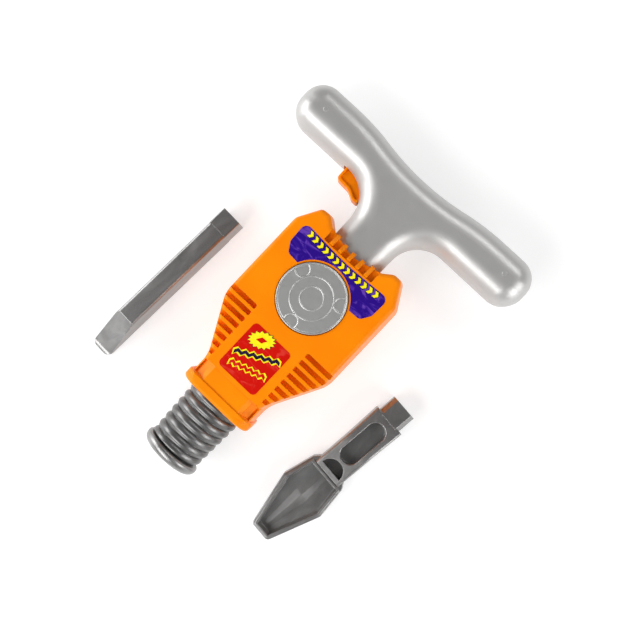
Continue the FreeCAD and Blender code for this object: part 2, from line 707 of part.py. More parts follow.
def gearbox_plate():
    axle = compound_place()
    flat = plate(rectangle(20.0, 11.5, 3.0, 0, -1.0), *PLATE_Z)
    ear_r = 3.8
    ear = rod_z(axle.x, axle.y, ear_r, *PLATE_Z)
    arm = box((axle.x - ear_r, axle.x + ear_r), (5, axle.y), PLATE_Z)
    hub = rod_z(0, 0, 4.4, PLATE_Z[0] - 1.6, PLATE_Z[1])
    feet = [rod_z(x, y, 2.6, BAY_ROOF_Z + BAY_WALL, PLATE_Z[0] + 0.5) for x in (-16, 16) for y in (-9, 2.0)]
    body = joined([flat, ear, arm, hub] + feet)
    return without(
        body,
        [
            rod_z(0, 0, DIAL_PIVOT_R + 0.06, 20, 30),
            rod_z(axle.x, axle.y, 1.0, 15, 30),
        ],
    )


def motor():
    """The motor's can, its end cap and its shaft."""
    low, top = MOTOR_Z
    section = rectangle(MOTOR_WIDE / 2, MOTOR_THICK / 2, 3.0, 0, MOTOR_Y)
    can = plate(section, low + 4.0, top)
    can = rounded_at(can, 0.8, lambda e: lies_at_z(e, top))
    can = joined([can, rod_z(0, MOTOR_Y, 3.0, top - 0.5, top + 1.4)])
    bore = rod_z(0, MOTOR_Y, MOTOR_SHAFT_R + 0.06, low + 1.0, 50)
    cap = plate(section, low, low + 4.0, 0.1)
    tabs = [box((-MOTOR_TAB_X, -9.0), (y - 1.0, y + 1.0), (low + 1.5, low + 2.1)) for y in MOTOR_TAB_Y]
    cap = joined([cap] + tabs).cut(bore)
    shaft = rod_z(0, MOTOR_Y, MOTOR_SHAFT_R, low + 1.2, MOTOR_PINION_Z[1])
    return can.cut(bore), cap, shaft


def eccentric_weight():
    """A half disc on the motor's shaft: off balance, so that it shakes the tool."""
    half = rod_z(0, MOTOR_Y, WEIGHT_R, *WEIGHT_Z).common(box((-9, 9), (MOTOR_Y, MOTOR_Y + 9), WEIGHT_Z))
    hub = rod_z(0, MOTOR_Y, 2.4, *WEIGHT_Z)
    return joined([half, hub]).cut(rod_z(0, MOTOR_Y, MOTOR_SHAFT_R, 30, 45))


def dial_disc():
    """The round dial: a rim, two raised rings, and three notches inside the rim."""
    steps = [
        (DIAL_R, 0.5),
        (DIAL_R - 0.5, 0.0),
        (DIAL_R - 1.3, 0.0),
        (DIAL_R - 1.8, 0.8),
        (13.9, 0.8),
        (13.5, 0.2),
        (12.9, 0.2),
        (12.4, 0.6),
        (7.6, 0.6),
        (7.2, 0.0),
        (6.4, 0.0),
        (5.9, 0.5),
        (0.0, 0.2),
    ]
    profile = [(0.0, DIAL_BASE_Z), (DIAL_R, DIAL_BASE_Z)] + [(r, DIAL_TOP_Z - drop) for r, drop in steps]
    wire = Part.makePolygon([V(r, 0, z) for r, z in profile] + [V(profile[0][0], 0, profile[0][1])])
    disc = Part.Face(wire).revolve(V(), Z_AXIS, 360)
    notch = plate(
        [(-4.2, -25.0, 0.0), (4.2, -25.0, 0.0), (3.3, -13.8, 2.9), (-3.3, -13.8, 2.9)],
        DIAL_TOP_Z - 1.6,
        DIAL_TOP_Z + 1,
    )
    keep_rim = rod_z(0, 0, DIAL_R + 2, DIAL_TOP_Z - 3, DIAL_TOP_Z + 2).cut(
        rod_z(0, 0, DIAL_R - 1.8, DIAL_TOP_Z - 4, DIAL_TOP_Z + 3)
    )
    notches = []
    for k in range(3):
        one = notch.cut(keep_rim)
        one.rotate(V(), Z_AXIS, 120 * k)
        notches.append(one)
    bore = rod_z(0, 0, DIAL_SHAFT_R, DIAL_BASE_Z - 1, DIAL_BASE_Z + 1.6)
    return without(disc, notches + [bore])


# ---- sound ----


def circuit_board():
    board = plate(rectangle(9.4, 11.0, 1.0, -23.6, 19.0), BOARD_TOP_Z - 1.6, BOARD_TOP_Z)
    return without(board, [rod_z(x, y, 1.1, 7, 11) for x, y in BOARD_HOLES])


def board_parts():
    """What is soldered on the board: a sealed chip, a capacitor, a resistor pair and a transistor."""
    top = BOARD_TOP_Z
    chip = Part.makeSphere(5.4, V(-23.4, 20.4, top - 4.0)).common(box((-30, -15), (12, 28), (top, 12)))
    capacitor = rod_z(-18.2, 12.8, 2.5, top, top + 6.0)
    resistors = [box((-26.4, -21.8), (y, y + 1.5), (top, top + 1.5)) for y in (13.0, 15.4)]
    transistor = box((-30.0, -26.0), (24.6, 27.4), (top, top + 4.0))
    return Part.makeCompound([chip, capacitor, transistor] + resistors)


def speaker():
    """The speaker's frame with its magnet, and its cone."""
    frame = rod_z(0, SPEAKER_Y, SPEAKER_R, WALL + 0.15, 4.4).cut(rod_z(0, SPEAKER_Y, SPEAKER_R - 1.6, 0, 3.6))
    magnet = rod_z(0, SPEAKER_Y, 7.0, 4.3, 9.4)
    cone = Part.makeCone(SPEAKER_R - 1.8, 4.0, 1.1, V(0, SPEAKER_Y, WALL + 0.3), Z_AXIS)
    inner = Part.makeCone(SPEAKER_R - 2.8, 3.2, 0.9, V(0, SPEAKER_Y, WALL + 0.2), Z_AXIS)
    return joined([frame, magnet]), cone.cut(inner)


def tube(points, radius):
    """A wire's solid: straight runs joined by arcs as wide as the runs leave room for, up to WIRE_BEND."""
    corners = [V(*p) for p in points]
    start = corners[0]
    edges = []
    for before, corner, after in zip(corners, corners[1:], corners[2:]):
        into, out = corner - before, after - corner
        half_turn = into.getAngle(out) / 2
        bend = min(WIRE_BEND, 0.45 * min(into.Length, out.Length) / math.tan(half_turn))
        into.normalize()
        out.normalize()
        reach = bend * math.tan(half_turn)
        middle = corner + (out - into).normalize() * (bend / math.cos(half_turn) - bend)
        edges.append(Part.LineSegment(start, corner - into * reach).toShape())
        start = corner + out * reach
        edges.append(Part.Arc(corner - into * reach, middle, start).toShape())
    edges.append(Part.LineSegment(start, corners[-1]).toShape())
    section = Part.Wire(Part.makeCircle(radius, corners[0], corners[1] - corners[0]))
    return Part.Wire(edges).makePipeShell([section], True, True)


def wiring():
    """The wires: battery to switch, switch to board, battery to board, speaker's pair and motor's pair."""
    top = BOARD_TOP_Z
    far_leg, near_leg = SWITCH_LEGS_X[1], SWITCH_LEGS_X[2]
    leg_y = SWITCH_Y[1] + 3.4
    tab_z = sum(CONTACT_TAB_Z) / 2
    side_x, motor_x = 31.3, MOTOR_TAB_X - 0.6
    runs = [
        [
            (side_x, CONTACT_TAB_Y[1], tab_z),
            (side_x, 22.0, tab_z),
            (14.0, 31.0, 16.5),
            (13.0, 66.0, 18.0),
            (8.0, 98.4, 20.0),
            (far_leg + 4.0, 99.4, PARTING_Z),
            (far_leg, 98.6, PARTING_Z),
            (far_leg, leg_y, PARTING_Z),
        ],
        [
            (-19.4, 26.0, top),
            (-19.4, 26.0, 16.0),
            (-13.5, 34.0, 20.0),
            (-13.0, 66.0, 20.0),
            (-12.4, 92.0, 22.0),
            (near_leg + 2.6, 96.9, PARTING_Z),
            (near_leg, 96.4, PARTING_Z),
            (near_leg, leg_y, PARTING_Z),
        ],
        [(-side_x, CONTACT_TAB_Y[1], tab_z), (-side_x, 12.5, tab_z), (-side_x, 12.5, top)],
        [
            (-side_x, 10.0, top),
            (-side_x, 10.0, 11.4),
            (-side_x - 0.9, -46.5, 11.4),
            (-20.0, -50.0, 8.4),
            (-10.5, -50.5, 7.0),
            (-10.5, -50.5, 4.4),
        ],
        [
            (-side_x, 20.0, top),
            (-side_x, 20.0, 17.0),
            (-side_x - 0.9, -46.5, 17.0),
            (-18.0, -53.0, 10.0),
            (-10.2, -60.0, 6.8),
            (-10.2, -60.0, 4.4),
        ],
    ]
    for y in MOTOR_TAB_Y:
        runs.append([(-15.4, y, top), (-15.4, y, 12.2), (-motor_x, y, 12.2), (-motor_x, y, MOTOR_Z[0] + 2.1)])
    return Part.makeCompound([tube(run, WIRE_R) for run in runs])


# ---- nose ----


def nose_sleeve():
    """A tapering sleeve with corrugations like a spring's coils."""
    low, top = RING_Y[1], SLEEVE_TOP_Y
    turns = int((top - low) / COIL_PITCH)
    pitch = (top - low) / turns
    edges = []
    for i in range(turns):
        y0, y1 = low + pitch * i, low + pitch * (i + 1)
        r0, r1 = sleeve_valley(y0), sleeve_valley(y1)
        crest = V(sleeve_valley((y0 + y1) / 2) + COIL_DEPTH, (y0 + y1) / 2, 0)
        edges.append(Part.Arc(V(r0, y0, 0), crest, V(r1, y1, 0)).toShape())
    corners = [
        V(sleeve_valley(top), top, 0),
        V(SLEEVE_BORE_R, top, 0),
        V(SLEEVE_BORE_R, low, 0),
        V(sleeve_valley(low), low, 0),
    ]
    edges += [Part.LineSegment(a, b).toShape() for a, b in zip(corners, corners[1:])]
    body = Part.Face(Part.Wire(edges)).revolve(V(), Y_AXIS, 360)
    body.translate(V(0, 0, NOSE_Z))
    return body


def sleeve_valley(y):
    """The sleeve's radius in the valleys between its coils."""
    share = (y - RING_Y[1]) / (SLEEVE_TOP_Y - RING_Y[1])
    return SLEEVE_END_R + (SLEEVE_TOP_R - SLEEVE_END_R) * share - COIL_DEPTH


def nose_ring():
    ring = rod_y(0, NOSE_Z, RING_R, *RING_Y)
    for y, radius in zip(RING_Y, (RING_ROUND, RING_BACK_ROUND)):
        ring = rounded_at(ring, radius, lambda e: len(e.Vertexes) == 1 and abs(e.CenterOfMass.y - y) < 0.1)
    hole = rectangle(SOCKET_OUTER[0] / 2, SOCKET_OUTER[1] / 2, 1.5, 0, NOSE_Z)
    return ring.cut(plate_y(hole, RING_Y[0] - 1, RING_Y[1] + 1))


def bit_socket():
    outer = rectangle(SOCKET_OUTER[0] / 2, SOCKET_OUTER[1] / 2, 1.5, 0, NOSE_Z)
    hole = rectangle(SOCKET_HOLE[0] / 2, SOCKET_HOLE[1] / 2, 0.8, 0, NOSE_Z)
    body = plate_y(outer, RING_Y[0], SOCKET_BACK_Y)
    return body.cut(plate_y(hole, RING_Y[0] - 1, SOCKET_FLOOR_Y))


def plunger_rod():
    body = joined(
        [
            rod_y(0, NOSE_Z, ROD_R, SOCKET_BACK_Y, BULKHEAD_Y[1]),
            rod_y(0, NOSE_Z, 4.5, BULKHEAD_Y[1] - 0.1, BULKHEAD_Y[1] + 1.6),
        ]
    )
    return body.cut(rod_y(0, NOSE_Z, 1.55, -86, -70))


def plunger_washer():
    low = BULKHEAD_Y[1] + 0.05
    return rod_y(0, NOSE_Z, 9.0, low, low + 1.5).cut(rod_y(0, NOSE_Z, 4.55, -80, -60))


def plunger_screw():
    seat = BULKHEAD_Y[1] + 1.6
    body = joined([rod_y(0, NOSE_Z, 5.4, seat, seat + 2.2), rod_y(0, NOSE_Z, 1.5, seat - 10, seat + 0.1)])
    slot_y = (seat + 1.4, seat + 4)
    slots = [box((-a, a), slot_y, (NOSE_Z - b, NOSE_Z + b)) for a, b in ((2.2, 0.4), (0.4, 2.2))]
    return without(body, slots)


def plunger_spring():
    return coil(8.3, 0.7, 4.4, 30.8, V(0, SOCKET_BACK_Y + 1.1, NOSE_Z), Y_AXIS)


# ---- handle ----


def handle_blank(inset, top_z, radius, neck_end):
    """The front half of the T form, inset from the outer surface."""
    half = [(HANDLE_HALF[0][0], neck_end, 0.0)] + HANDLE_HALF[1:]
    sections = [(PARTING_Z - 1, inset), (top_z, inset)]
    if not inset:
        sections = [(PARTING_Z, SEAM_INSET), (PARTING_Z + SEAM_HEIGHT, 0.0), (top_z, 0.0)]
    solid = tapered(both_sides(half), sections)
    past_neck_end = neck_end + inset + 1
    return rounded_at(solid, radius, lambda e: lies_at_z(e, top_z) and e.CenterOfMass.y > past_neck_end)


def handle_shell():
    top_z = PARTING_Z + HANDLE_HALF_DEPTH
    outer = handle_blank(0.0, top_z, HANDLE_ROUND, NECK_END_Y)
    cavity = handle_blank(HANDLE_WALL, top_z - HANDLE_WALL, HANDLE_ROUND - HANDLE_WALL, NECK_END_Y - 8)
    flange = plate_y(neck_profile(0, NECK_FLANGE), NECK_END_Y, NECK_END_Y + NECK_FLANGE_THICK)
    flange = flange.common(box((-30, 30), (20, 50), (PARTING_Z, 50)))
    body = without(joined([outer, flange]), [cavity])
    slot = plate(TRIGGER_SLOT, PARTING_Z - 7, PARTING_Z + TRIGGER_HALF_THICK + 0.5)
    bosses = [rod_z(x, y, BOSS_R, PARTING_Z, top_z - 1) for x, y in HANDLE_SCREWS]
    pin_boss = rod_z(TRIGGER_PIN[0], TRIGGER_PIN[1], 3.4, PARTING_Z + TRIGGER_HALF_THICK + 0.3, top_z - 1)
    rib_y = (TRIGGER_SPRING_Y[1] + 0.1, TRIGGER_SPRING_Y[1] + 2.1)
    spring_rib = box((-39.5, -33.6), rib_y, (PARTING_Z, top_z - 1))
    switch_ribs = [
        box(x, (SWITCH_Y[0] + 1.0, SWITCH_Y[1]), (SWITCH_Z[1] + 0.05, top_z - 1))
        for x in ((-31.6, -30.2), (-23.6, -22.2))
    ]
    inside = joined(bosses + [pin_boss, spring_rib] + switch_ribs).common(outer)
    body = joined([without(body, [slot]), inside])
    return body.cut(rod_z(TRIGGER_PIN[0], TRIGGER_PIN[1], TRIGGER_PIN_R, PARTING_Z, 34.0))


def handle_front():
    pilots = [rod_z(x, y, PILOT_R, PARTING_Z - 1, 35.6) for x, y in HANDLE_SCREWS]
    return handle_shell().cut(pilots)


def handle_rear():
    """The rear half of the handle, with counterbored bosses."""
    back_z = PARTING_Z - HANDLE_HALF_DEPTH
    outer = flipped(handle_blank(0.0, PARTING_Z + HANDLE_HALF_DEPTH, HANDLE_ROUND, NECK_END_Y))
    wide = joined([rod_z(x, y, REAR_BOSS_R, back_z + 0.6, PARTING_Z) for x, y in HANDLE_SCREWS]).common(outer)
    body = joined([flipped(handle_shell()), wide])
    holes = []
    for x, y in HANDLE_SCREWS:
        holes += [rod_z(x, y, COUNTERBORE_R, 0, SCREW_SEAT_Z), rod_z(x, y, CLEARANCE_R, 10, 30)]
    return body.cut(holes)


def trigger():
    low, high = PARTING_Z - TRIGGER_HALF_THICK, PARTING_Z + TRIGGER_HALF_THICK
    px, py = TRIGGER_PIN
    inner_z = (low + 2, high - 2)
    tab_r, tab_y = 1.2, BUTTON_TIP_Y - 1.25
    tab = [
        rod_z(BUTTON_X, tab_y, tab_r, *inner_z),
        box((BUTTON_X - tab_r, BUTTON_X + tab_r), (77, tab_y), inner_z),
    ]
    blade = plate(TRIGGER_OUTLINE, low, high)
    blade = rounded_at(
        blade, 0.5, lambda e: (lies_at_z(e, low) or lies_at_z(e, high)) and e.CenterOfMass.y < 74
    )
    seat = box((TRIGGER_SPRING_X - 2.6, TRIGGER_SPRING_X + 2.6), (78.0, TRIGGER_SPRING_Y[0]), inner_z)
    body = joined([blade, rod_z(px, py, 3.6, low, high), seat] + tab)
    pockets = [
        plate(TRIGGER_POCKET, high - TRIGGER_POCKET_DEPTH, high + 1),
        plate(TRIGGER_POCKET, low - 1, low + TRIGGER_POCKET_DEPTH),
    ]
    return without(body, pockets + [rod_z(px, py, TRIGGER_PIN_R + 0.06, 0, 50)])


def trigger_pin():
    return rod_z(TRIGGER_PIN[0], TRIGGER_PIN[1], TRIGGER_PIN_R - 0.02, 12.1, 33.9)


def trigger_spring():
    low, high = TRIGGER_SPRING_Y
    return coil(2.1, 0.3, 2.2, high - low - 0.7, V(TRIGGER_SPRING_X, low + 0.35, PARTING_Z), Y_AXIS)


def switch():
    body = box(SWITCH_X, SWITCH_Y, SWITCH_Z)
    legs = [box((x - 0.3, x + 0.3), (SWITCH_Y[1], SWITCH_Y[1] + 3.4), (22.4, 23.6)) for x in SWITCH_LEGS_X]
    button_hole = rod_y(BUTTON_X, PARTING_Z, BUTTON_R + 0.06, SWITCH_Y[0] - 1, SWITCH_Y[0] + 4.6)
    body = joined([body] + legs).cut(button_hole)
    button = rod_y(BUTTON_X, PARTING_Z, BUTTON_R, BUTTON_TIP_Y, SWITCH_Y[0] + 1.6)
    return body, button


# ---- bits ----


def placed(shape, place):
    x, y, angle = place
    shape.rotate(V(), Z_AXIS, angle)
    shape.translate(V(x, y, 0))
    return shape


def drafted(half_width, top_half_width, height, corner):
    """A section in X and Z that stands on Z = 0 and narrows upwards."""
    return [
        (half_width, 0.0, 0.0),
        (top_half_width, height, corner),
        (-top_half_width, height, corner),
        (-half_width, 0.0, 0.0),
    ]


def chisel_bit():
    """A long bar with a bevelled blade, and a tang that is a little smaller. Its underside is cored out."""
    half, top_half = CHISEL_WIDTH / 2, CHISEL_TOP_WIDTH / 2
    bar = plate_y(drafted(half, top_half, CHISEL_HEIGHT, CHISEL_ROUND), -CHISEL_LENGTH, -TANG_LENGTH)
    above_blade = [
        (-CHISEL_LENGTH - 1, CHISEL_EDGE, 0.0),
        (-CHISEL_LENGTH + 2.0, CHISEL_EDGE, 5.0),
        (CHISEL_BEVEL_Y, CHISEL_HEIGHT, 0.0),
        (CHISEL_BEVEL_Y, CHISEL_HEIGHT + 2, 0.0),
        (-CHISEL_LENGTH - 1, CHISEL_HEIGHT + 2, 0.0),
    ]
    tip_corners = both_sides([(half, -CHISEL_LENGTH, 4.2), (half + 0.1, 0.0, 0.0)])
    bar = bar.cut(plate_x(above_blade, -12, 12)).common(plate(tip_corners, -1, 30))
    bar = rounded_at(bar, 1.0, lambda e: abs(e.CenterOfMass.y + TANG_LENGTH) < 0.01 and e.CenterOfMass.z > 10)
    tang_half = TANG_NARROW / 2
    tang = plate_y(drafted(tang_half, tang_half - 0.2, TANG_WIDE, 0.8), -TANG_LENGTH - 1, 0)
    cores = [
        plate(rectangle(half - 2.4, (y1 - y0) / 2, 1.0, 0, (y0 + y1) / 2), -1, 15.6)
        for y0, y1 in ((-89.0, -53.0), (-51.0, -15.0))
    ]
    return placed(without(joined([bar, tang]), cores), CHISEL_PLACE)


def spade_bit():
    """A digging bit: a bevelled tang, a shank with a long pocket, and a six-sided tray with a double rim."""
    half, chamfer = TANG_WIDE / 2, 2.8
    tang_section = [
        (half, chamfer, 0.4),
        (half, TANG_NARROW - chamfer, 0.4),
        (half - chamfer, TANG_NARROW, 0.4),
        (chamfer - half, TANG_NARROW, 0.4),
        (-half, TANG_NARROW - chamfer, 0.4),
        (-half, chamfer, 0.4),
        (chamfer - half, 0.0, 0.4),
        (half - chamfer, 0.0, 0.4),
    ]
    tang = plate_y(tang_section, -TANG_LENGTH - 1, 0)
    side = [
        (-70.0, 0.0, 0.0),
        (-TANG_LENGTH, 0.0, 0.0),
        (-TANG_LENGTH, SHANK_TOP_Z, 0.0),
        (-40.0, SHANK_TOP_Z - 0.6, 60.0),
        (-70.0, SHANK_LOW_Z, 0.0),
    ]
    shank = plate(both_sides(SHANK_HALF), 0.0, SHANK_TOP_Z + 1).common(plate_x(side, -15, 15))
    shank = rounded_at(
        shank, 1.8, lambda e: e.Length > 15 and abs(e.CenterOfMass.x) > 10 and e.CenterOfMass.z > 9
    )
    half_pocket = (POCKET_SPAN_Y[1] - POCKET_SPAN_Y[0]) / 2
    pocket_outline = rectangle(POCKET_R, half_pocket, POCKET_R - 0.05, 0, sum(POCKET_SPAN_Y) / 2)
    long_pocket = plate(pocket_outline, POCKET_SINK_Z, SHANK_TOP_Z + 5)
    half_moon = rod_z(0, MOON_Y, MOON_R, MOON_SINK_Z, 20.0).common(box((-9, 9), (MOON_Y, -50), (0, 20)))
    shank = shank.cut(long_pocket)
    shank = rounded_at(
        shank,
        0.7,
        lambda e: abs(e.CenterOfMass.x) < POCKET_R + 0.1
        and POCKET_SPAN_Y[0] - 0.1 < e.CenterOfMass.y < POCKET_SPAN_Y[1] + 0.1
        and min(p.z for p in e.discretize(5)) > SHANK_LOW_Z,
    )
    blade = plate(both_sides(BLADE_HALF), 0.0, BLADE_TOP_Z)
    blade = rounded_at(blade, 0.7, lambda e: lies_at_z(e, BLADE_TOP_Z))
    rim = plate(both_sides(TRAY_HALF), BLADE_TOP_Z - 1, RIM_TOP_Z, RIM_STEP)
    rim = rounded_at(rim, 0.5, lambda e: lies_at_z(e, RIM_TOP_Z))
    tray = tapered(both_sides(TRAY_HALF), [(TRAY_FLOOR_Z, RIM_WIDTH + 0.9), (RIM_TOP_Z + 1, RIM_WIDTH - 0.2)])
    floor, bottom = TRAY_FLOOR_Z - 0.1, -118.0
    ridge_sections = [(-67.5, 4.0, 0.3), (-88.0, 5.5, 1.6), (bottom, 3.0, 0.4)]
    ridge = Part.makeLoft(
        [
            Part.makePolygon([V(-w, y, floor), V(w, y, floor), V(0, y, floor + rise), V(-w, y, floor)])
            for y, w, rise in ridge_sections
        ],
        True,
        True,
    )
    body = without(joined([tang, shank, blade, rim]), [tray, half_moon])
    return placed(joined([body, ridge]), SPADE_PLACE)


def main():
    os.makedirs("parts", exist_ok=True)
    write("housing_front", housing_front())
    write("housing_rear", housing_rear())
    write("housing_screws", shell_screws(HOUSING_SCREWS))
    write("battery_door", battery_door())
    write("battery_door_screw", screw(0, DOOR_SCREW_Y, 1.05, 10.0, 0.9))
    write("battery_cells", battery_cells())
    write("battery_springs", battery_springs())
    write("battery_contacts", battery_contacts())
    blue, red = labels()
    write("upper_label", blue)
    write("lower_label", red)
    write("dial_disc", dial_disc())
    dial_gear, compound_gear, motor_pinion = drive_gears()
    write("dial_gear", dial_gear)
    write("compound_gear", compound_gear)
    write("compound_axle", compound_axle())
    write("motor_pinion", motor_pinion)
    write("gearbox_plate", gearbox_plate())
    can, cap, shaft = motor()
    write("motor_can", can)
    write("motor_end_cap", cap)
    write("motor_shaft", shaft)
    write("eccentric_weight", eccentric_weight())
    write("circuit_board", circuit_board())
    write("board_parts", board_parts())
    frame, cone = speaker()
    write("speaker_frame", frame)
    write("speaker_cone", cone)
    write("wiring", wiring())
    write("nose_sleeve", nose_sleeve())
    write("nose_ring", nose_ring())
    write("bit_socket", bit_socket())
    write("plunger_rod", plunger_rod())
    write("plunger_washer", plunger_washer())
    write("plunger_screw", plunger_screw())
    write("plunger_spring", plunger_spring())
    write("handle_front", handle_front())
    write("handle_rear", handle_rear())
    write("handle_screws", shell_screws(HANDLE_SCREWS))
    write("trigger", trigger())
    write("trigger_pin", trigger_pin())
    write("trigger_spring", trigger_spring())
    body, button = switch()
    write("switch_body", body)
    write("switch_button", button)
    write("chisel_bit", chisel_bit())
    write("spade_bit", spade_bit())


main()
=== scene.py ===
"""Looks, light and camera for the toy jackhammer with its two loose bits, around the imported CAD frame."""

import math

import bpy
from mathutils import Euler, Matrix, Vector
import numpy as np


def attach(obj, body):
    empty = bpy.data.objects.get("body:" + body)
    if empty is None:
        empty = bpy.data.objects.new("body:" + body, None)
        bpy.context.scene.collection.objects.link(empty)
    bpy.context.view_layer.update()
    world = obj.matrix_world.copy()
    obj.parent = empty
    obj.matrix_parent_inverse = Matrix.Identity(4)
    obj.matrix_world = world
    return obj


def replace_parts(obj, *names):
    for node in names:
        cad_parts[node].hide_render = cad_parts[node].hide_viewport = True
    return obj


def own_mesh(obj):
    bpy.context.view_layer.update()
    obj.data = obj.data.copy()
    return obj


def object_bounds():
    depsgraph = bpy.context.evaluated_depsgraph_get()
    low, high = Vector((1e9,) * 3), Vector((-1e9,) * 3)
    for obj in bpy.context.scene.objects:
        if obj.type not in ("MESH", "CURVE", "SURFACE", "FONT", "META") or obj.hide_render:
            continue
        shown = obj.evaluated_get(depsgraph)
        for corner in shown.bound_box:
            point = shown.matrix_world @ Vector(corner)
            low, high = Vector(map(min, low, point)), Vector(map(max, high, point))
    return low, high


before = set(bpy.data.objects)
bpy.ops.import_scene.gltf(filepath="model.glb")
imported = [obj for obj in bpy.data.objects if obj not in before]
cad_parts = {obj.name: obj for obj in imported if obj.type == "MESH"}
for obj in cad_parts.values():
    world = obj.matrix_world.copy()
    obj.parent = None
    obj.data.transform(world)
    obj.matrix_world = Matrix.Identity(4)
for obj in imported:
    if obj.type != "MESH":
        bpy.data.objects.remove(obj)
cad_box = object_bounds()
MM = 0.001

# Camera, as it stood over the table, in millimetres and degrees. Its clipping distances are in metres.
CAMERA_AT = (35.35, -8.21, 535.60)
CAMERA_TURN = (2.540, 2.290, 43.359)
LENS_MM, SENSOR_MM = 46.42, 36.0
CLIP_START, CLIP_END = 0.01, 20.0

# The studio's walls are pale and its ceiling is dark: (height of the direction, grey) of the world.
WORLD_SHADES = ((0.0, 0.62), (0.16, 0.45), (0.42, 0.14), (1.0, 0.12))
# Area lights: name, place, target and (width, height) in metres, and power in watts.
SOFTBOXES = (
    ("box_low", (-0.24, -0.86, 0.80), (0, 0, 0.03), (1.1, 0.55), 10.6),
    ("box_left", (-0.94, -0.28, 0.36), (0, 0, 0.03), (0.8, 0.45), 6.4),
    ("box_right", (0.98, 0.02, 0.52), (0, 0, 0.03), (0.7, 0.6), 6.0),
    ("box_high", (0.1, 1.0, 0.9), (0, 0.05, 0.03), (0.9, 0.3), 3.9),
)
# The floor lies just under the lowest point, in metres, and gives off some light of its own.
FLOOR_HALF_SIDE, FLOOR_DROP = 3.0, 0.0002
FLOOR_GREYS, FLOOR_ROUGHNESS, FLOOR_GLOW = (0.50, 0.52), 0.9, 0.58

# The helical sleeve of the nose, in millimetres. Its axis runs along Y at NOSE_Z, and a valley crosses its -X
# side at COIL_VALLEY_Y. Radii are (top, end). The crests fade out over COIL_FADE at the end.
NOSE_Z = 23.0
COIL_PITCH = 6.05
COIL_VALLEY_Y = -94.23
COIL_TOP_Y, COIL_END_Y = -82.6, -128.2
COIL_CREST_R = (20.2, 18.3)
COIL_VALLEY_R = (17.9, 16.3)
COIL_BORE_R = 15.2
COIL_FADE = 1.2
COIL_AROUND, COIL_ALONG = 200, 260
# How far the sleeve rises from valley to crest along one pitch: (share of the pitch, share of the rise).
COIL_PROFILE = (
    (0.00, 0.00),
    (0.07, 0.38),
    (0.20, 0.74),
    (0.38, 0.95),
    (0.54, 1.00),
    (0.68, 0.90),
    (0.77, 0.70),
    (0.84, 0.66),
    (0.90, 0.58),
    (0.95, 0.26),
)

# The dial's face, in millimetres: a rim with a groove inside it, two rings, and notches open towards the rim.
# The steepness is just under one, so that the rounded edge doesn't end in an upright wall.
DIAL_R, DIAL_BASE_Z, DIAL_TOP_Z = 22.2, 43.85, 47.0
DIAL_FACE_DROP, DIAL_FACE_END_R, DIAL_RIM_START_R = 0.35, 20.75, 21.35
DIAL_GROOVE_R, DIAL_GROOVE_DEPTH, DIAL_GROOVE_WIDTH = 21.1, 0.35, 0.28
DIAL_RINGS = (13.6, 7.4)
DIAL_RIDGE, DIAL_RIDGE_WIDTH = 0.20, 0.30
DIAL_NOTCH_ANGLES = (-90.0, 30.0, 150.0)
DIAL_NOTCH_HALF, DIAL_NOTCH_IN, DIAL_NOTCH_OUT, DIAL_NOTCH_DEPTH = 4.3, 14.4, 20.6, 0.3
DIAL_NOTCH_SLOPE, DIAL_NOTCH_RIDGE_AT, DIAL_NOTCH_RIDGE_END = 0.25, 0.45, 20.1
DIAL_EDGE_ROUND, DIAL_EDGE_STEEPNESS = 0.7, 0.98
# The rings of points across the face, which lie closer together on the rim: (inner, outer radius).
DIAL_FACE_SPAN, DIAL_FACE_STEPS = (0.2, 21.0), 180
DIAL_RIM_SPAN, DIAL_RIM_STEPS = (21.05, DIAL_R), 22
DIAL_AROUND = 480

# The compression springs run along +Y, in millimetres. Travel is how far the joint's motion shortens one.
NOSE_TRAVEL, TRIGGER_TRAVEL = 6.0, 1.9
NOSE_SPRING = {"start": (0.0, -108.9, NOSE_Z), "length": 30.8, "radius": 8.3, "wire_r": 0.7, "pitch": 4.4}
TRIGGER_SPRING = {"start": (-34.7, 82.55, 23.0), "length": 12.7, "radius": 2.1, "wire_r": 0.3, "pitch": 2.2}
SPRING_AROUND, SPRING_PER_TURN = 10, 24

# Printed shapes on the labels, in millimetres. Each stands a little above the film's face.
FILM_Z = 46.2
OUTLINE_LIFT, PRINT_LIFT, TOP_LIFT, PRINT_SINK = 0.04, 0.08, 0.12, 0.05
CHEVRON_COUNT, CHEVRON_PITCH, CHEVRON_HALF_Y, CHEVRON_WIDTH, CHEVRON_POINT = 13, 4.5, 2.0, 2.1, 1.5
CHEVRON_ROW_Y, CHEVRON_ROW_BEND, PRINT_MARGIN = 26.8, 0.0019, 0.5
BURST_AT, BURST_TURN, BURST_POINTS = (-4.6, -39.4), 31.0, 15
BURST_R, BURST_FLATNESS = (9.0, 7.0), 0.62
DIAMOND_HALF = (3.6, 1.9)
# Zigzag bands of the lower label: (centre, turn in degrees, half length).
DARK_BAND = ((0.0, -48.6), 27.0, 14.6)
RED_BAND = ((1.0, -58.2), 17.0, 12.0)
BAND_TEETH, BAND_THICK, BAND_RISE, BAND_MARGIN = 6, 2.3, 1.7, 0.8

# Round gate marks on the handle's face, in millimetres: (x, y), and (radius, height) from rim to middle.
GATE_PLACES = ((-75.2, 92.2), (75.2, 92.2))
GATE_PROFILE = ((1.7, -0.1), (1.7, 0.096), (1.53, 0.16), (0.2, 0.016))
GATE_AROUND = 48
HANDLE_FACE_Z = 39.6


# ---- small helpers for meshes

def smooth_step(low, high, x):
    t = np.clip((x - low) / (high - low), 0.0, 1.0)
    return t * t * (3 - 2 * t)


def rounded_line(distance, height, width):
    """How high a rounded ridge is, or how deep a rounded groove, at a distance from its middle."""
    return height * np.exp(-((distance / width) ** 2))


def circle_angles(count):
    return np.arange(count) / count * 2 * math.pi


